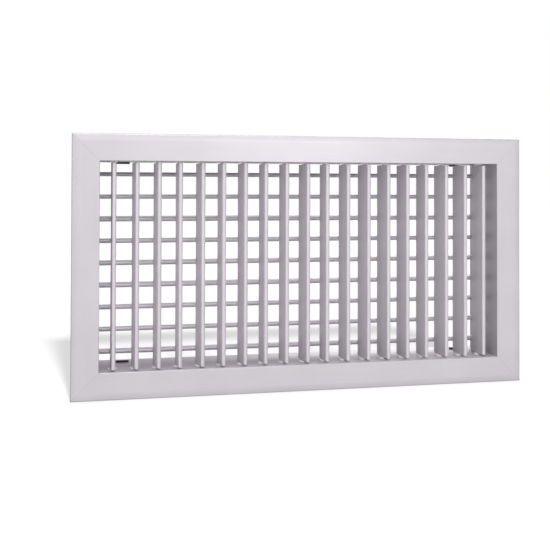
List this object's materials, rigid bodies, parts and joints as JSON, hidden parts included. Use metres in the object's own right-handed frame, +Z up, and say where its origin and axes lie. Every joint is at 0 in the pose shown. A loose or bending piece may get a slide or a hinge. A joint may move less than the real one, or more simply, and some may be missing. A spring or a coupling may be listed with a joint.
{
  "type": "supply air grille",
  "caption": "Double deflection supply air grille: mitred aluminium frame with turning upright front blades and turning level rear blades.",
  "frame": {"origin": "centre of the air opening in the wall plane, which is the back of the face flange", "axes": "+X to the right seen from the room, +Y into the wall along the neck, +Z up"},
  "size_m": [0.4344, 0.06, 0.2384],
  "materials": {
    "frame_aluminium": "satin anodised",
    "blade_aluminium": "satin anodised, drawn along the blade",
    "bush_nylon": "natural nylon",
    "clip_steel": "black spring steel",
    "key_steel": "zinc plated"
  },
  "bodies": {
    "frame": {"frame_top": "frame_aluminium", "frame_bottom": "frame_aluminium", "frame_left": "frame_aluminium", "frame_right": "frame_aluminium", "corner_key_top_left": "key_steel", "corner_key_top_right": "key_steel", "corner_key_bottom_left": "key_steel", "corner_key_bottom_right": "key_steel", "front_bushes_top": "bush_nylon", "front_bushes_bottom": "bush_nylon", "rear_bushes_left": "bush_nylon", "rear_bushes_right": "bush_nylon", "spring_clip_top_left": "clip_steel", "spring_clip_top_right": "clip_steel", "spring_clip_bottom_left": "clip_steel", "spring_clip_bottom_right": "clip_steel"},
    "front_blade_01": {"front_blade_01": "blade_aluminium"},
    "front_blade_02": {"front_blade_02": "blade_aluminium"},
    "front_blade_03": {"front_blade_03": "blade_aluminium"},
    "front_blade_04": {"front_blade_04": "blade_aluminium"},
    "front_blade_05": {"front_blade_05": "blade_aluminium"},
    "front_blade_06": {"front_blade_06": "blade_aluminium"},
    "front_blade_07": {"front_blade_07": "blade_aluminium"},
    "front_blade_08": {"front_blade_08": "blade_aluminium"},
    "front_blade_09": {"front_blade_09": "blade_aluminium"},
    "front_blade_10": {"front_blade_10": "blade_aluminium"},
    "front_blade_11": {"front_blade_11": "blade_aluminium"},
    "front_blade_12": {"front_blade_12": "blade_aluminium"},
    "front_blade_13": {"front_blade_13": "blade_aluminium"},
    "front_blade_14": {"front_blade_14": "blade_aluminium"},
    "front_blade_15": {"front_blade_15": "blade_aluminium"},
    "front_blade_16": {"front_blade_16": "blade_aluminium"},
    "front_blade_17": {"front_blade_17": "blade_aluminium"},
    "front_blade_18": {"front_blade_18": "blade_aluminium"},
    "front_blade_19": {"front_blade_19": "blade_aluminium"},
    "rear_blade_01": {"rear_blade_01": "blade_aluminium"},
    "rear_blade_02": {"rear_blade_02": "blade_aluminium"},
    "rear_blade_03": {"rear_blade_03": "blade_aluminium"},
    "rear_blade_04": {"rear_blade_04": "blade_aluminium"},
    "rear_blade_05": {"rear_blade_05": "blade_aluminium"},
    "rear_blade_06": {"rear_blade_06": "blade_aluminium"},
    "rear_blade_07": {"rear_blade_07": "blade_aluminium"},
    "rear_blade_08": {"rear_blade_08": "blade_aluminium"},
    "rear_blade_09": {"rear_blade_09": "blade_aluminium"}
  },
  "joints": [
    {"name": "front_blade_01_turn", "type": "hinge", "parent": "frame", "child": "front_blade_01", "pos_m": [-0.18, 0.01, 0], "axis": [0, 0, 1], "range_deg": [-47.3, 42.7]},
    {"name": "front_blade_02_turn", "type": "hinge", "parent": "frame", "child": "front_blade_02", "pos_m": [-0.16, 0.01, 0], "axis": [0, 0, 1], "range_deg": [-50.6, 39.4]},
    {"name": "front_blade_03_turn", "type": "hinge", "parent": "frame", "child": "front_blade_03", "pos_m": [-0.14, 0.01, 0], "axis": [0, 0, 1], "range_deg": [-51.3, 38.7]},
    {"name": "front_blade_04_turn", "type": "hinge", "parent": "frame", "child": "front_blade_04", "pos_m": [-0.12, 0.01, 0], "axis": [0, 0, 1], "range_deg": [-47.4, 42.6]},
    {"name": "front_blade_05_turn", "type": "hinge", "parent": "frame", "child": "front_blade_05", "pos_m": [-0.1, 0.01, 0], "axis": [0, 0, 1], "range_deg": [-51.7, 38.3]},
    {"name": "front_blade_06_turn", "type": "hinge", "parent": "frame", "child": "front_blade_06", "pos_m": [-0.08, 0.01, 0], "axis": [0, 0, 1], "range_deg": [-48.6, 41.4]},
    {"name": "front_blade_07_turn", "type": "hinge", "parent": "frame", "child": "front_blade_07", "pos_m": [-0.06, 0.01, 0], "axis": [0, 0, 1], "range_deg": [-51.1, 38.9]},
    {"name": "front_blade_08_turn", "type": "hinge", "parent": "frame", "child": "front_blade_08", "pos_m": [-0.04, 0.01, 0], "axis": [0, 0, 1], "range_deg": [-47.7, 42.3]},
    {"name": "front_blade_09_turn", "type": "hinge", "parent": "frame", "child": "front_blade_09", "pos_m": [-0.02, 0.01, 0], "axis": [0, 0, 1], "range_deg": [-48.6, 41.4]},
    {"name": "front_blade_10_turn", "type": "hinge", "parent": "frame", "child": "front_blade_10", "pos_m": [0, 0.01, 0], "axis": [0, 0, 1], "range_deg": [-51.4, 38.6]},
    {"name": "front_blade_11_turn", "type": "hinge", "parent": "frame", "child": "front_blade_11", "pos_m": [0.02, 0.01, 0], "axis": [0, 0, 1], "range_deg": [-45.6, 44.4]},
    {"name": "front_blade_12_turn", "type": "hinge", "parent": "frame", "child": "front_blade_12", "pos_m": [0.04, 0.01, 0], "axis": [0, 0, 1], "range_deg": [-49.1, 40.9]},
    {"name": "front_blade_13_turn", "type": "hinge", "parent": "frame", "child": "front_blade_13", "pos_m": [0.06, 0.01, 0], "axis": [0, 0, 1], "range_deg": [-51.3, 38.7]},
    {"name": "front_blade_14_turn", "type": "hinge", "parent": "frame", "child": "front_blade_14", "pos_m": [0.08, 0.01, 0], "axis": [0, 0, 1], "range_deg": [-51.6, 38.4]},
    {"name": "front_blade_15_turn", "type": "hinge", "parent": "frame", "child": "front_blade_15", "pos_m": [0.1, 0.01, 0], "axis": [0, 0, 1], "range_deg": [-49.3, 40.7]},
    {"name": "front_blade_16_turn", "type": "hinge", "parent": "frame", "child": "front_blade_16", "pos_m": [0.12, 0.01, 0], "axis": [0, 0, 1], "range_deg": [-46.1, 43.9]},
    {"name": "front_blade_17_turn", "type": "hinge", "parent": "frame", "child": "front_blade_17", "pos_m": [0.14, 0.01, 0], "axis": [0, 0, 1], "range_deg": [-50.5, 39.5]},
    {"name": "front_blade_18_turn", "type": "hinge", "parent": "frame", "child": "front_blade_18", "pos_m": [0.16, 0.01, 0], "axis": [0, 0, 1], "range_deg": [-50.3, 39.7]},
    {"name": "front_blade_19_turn", "type": "hinge", "parent": "frame", "child": "front_blade_19", "pos_m": [0.18, 0.01, 0], "axis": [0, 0, 1], "range_deg": [-47.1, 42.9]},
    {"name": "rear_blade_01_turn", "type": "hinge", "parent": "frame", "child": "rear_blade_01", "pos_m": [0, 0.041, 0.0831], "axis": [-1, 0, 0], "range_deg": [-44.1, 45.9]},
    {"name": "rear_blade_02_turn", "type": "hinge", "parent": "frame", "child": "rear_blade_02", "pos_m": [0, 0.041, 0.06232], "axis": [-1, 0, 0], "range_deg": [-43.1, 46.9]},
    {"name": "rear_blade_03_turn", "type": "hinge", "parent": "frame", "child": "rear_blade_03", "pos_m": [0, 0.041, 0.04155], "axis": [-1, 0, 0], "range_deg": [-40.8, 49.2]},
    {"name": "rear_blade_04_turn", "type": "hinge", "parent": "frame", "child": "rear_blade_04", "pos_m": [0, 0.041, 0.02077], "axis": [-1, 0, 0], "range_deg": [-44.2, 45.8]},
    {"name": "rear_blade_05_turn", "type": "hinge", "parent": "frame", "child": "rear_blade_05", "pos_m": [0, 0.041, 0], "axis": [-1, 0, 0], "range_deg": [-44.7, 45.3]},
    {"name": "rear_blade_06_turn", "type": "hinge", "parent": "frame", "child": "rear_blade_06", "pos_m": [0, 0.041, -0.02077], "axis": [-1, 0, 0], "range_deg": [-45.4, 44.6]},
    {"name": "rear_blade_07_turn", "type": "hinge", "parent": "frame", "child": "rear_blade_07", "pos_m": [0, 0.041, -0.04155], "axis": [-1, 0, 0], "range_deg": [-48.4, 41.6]},
    {"name": "rear_blade_08_turn", "type": "hinge", "parent": "frame", "child": "rear_blade_08", "pos_m": [0, 0.041, -0.06232], "axis": [-1, 0, 0], "range_deg": [-50.2, 39.8]},
    {"name": "rear_blade_09_turn", "type": "hinge", "parent": "frame", "child": "rear_blade_09", "pos_m": [0, 0.041, -0.0831], "axis": [-1, 0, 0], "range_deg": [-50.2, 39.8]}
  ]
}
